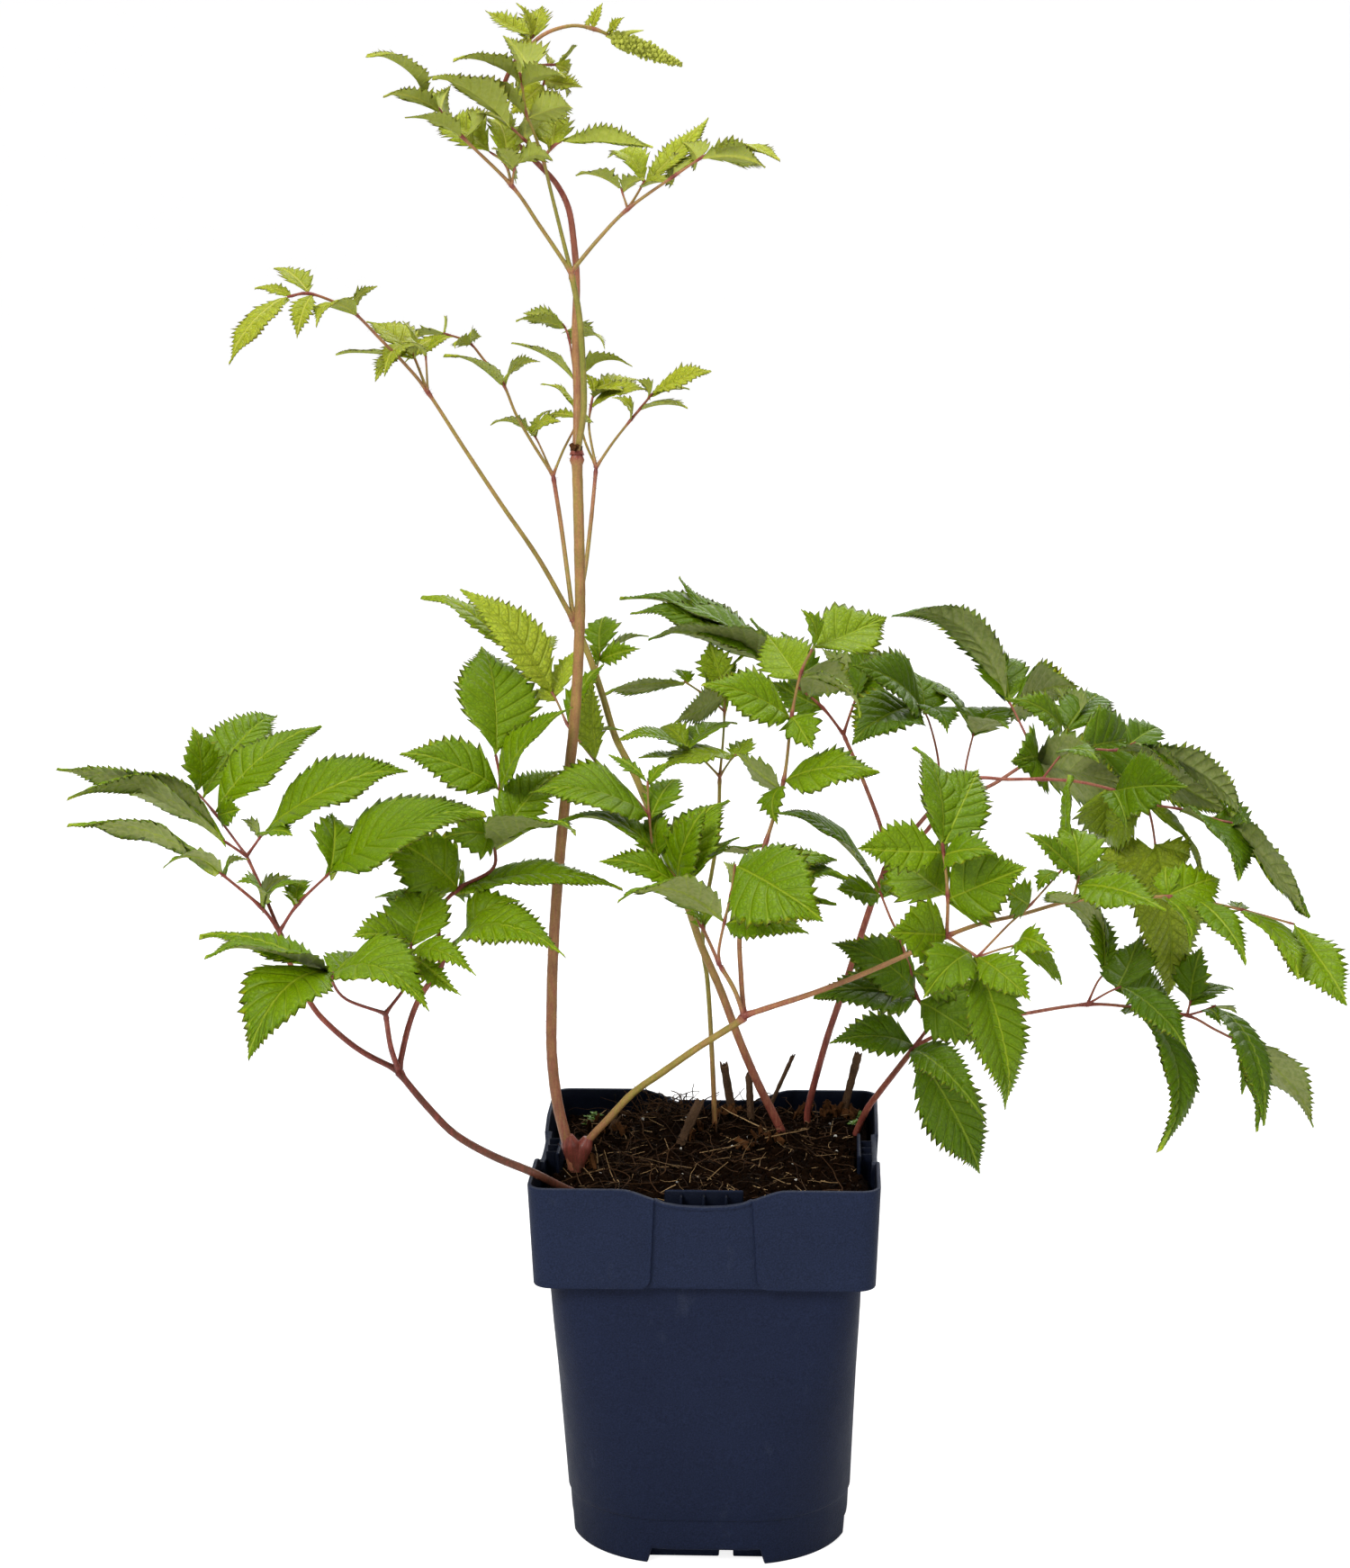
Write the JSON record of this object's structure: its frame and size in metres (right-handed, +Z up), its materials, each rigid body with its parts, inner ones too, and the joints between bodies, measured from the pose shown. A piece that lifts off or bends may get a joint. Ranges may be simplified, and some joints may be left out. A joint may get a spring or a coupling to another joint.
{
  "type": "potted astilbe plant",
  "caption": "Young astilbe with toothed compound leaves, a tall flowering stem in bud and old stubs, growing in a square dark blue nursery pot.",
  "frame": {"origin": "underside of the pot's middle foot block, at the centre of the pot, on the surface that it stands on", "axes": "+Z up along the flowering stem; +X to the right and +Y to the back, seen from the pot's front face"},
  "size_m": [0.3999, 0.193, 0.487],
  "materials": {
    "pot": "satin, finely textured",
    "soil": "rough damp peat",
    "young_leaf": "soft satin",
    "leaf": "soft satin",
    "dark_leaf": "satin",
    "bud": "matte",
    "stub": "dry, fibrous"
  },
  "bodies": {
    "root": {"pot": "pot", "soil": "soil", "flower_stem": "young_leaf", "mid_leaf": "young_leaf", "low_left_leaf": "leaf", "centre_leaf": "leaf", "right_leaf": "dark_leaf", "right_low_leaf": "dark_leaf", "back_leaf": "young_leaf", "flower_bud": "bud", "old_stub_1": "stub", "old_stub_2": "stub", "old_stub_3": "stub", "old_stub_4": "stub", "old_stub_5": "stub", "old_stub_6": "stub"}
  },
  "joints": []
}
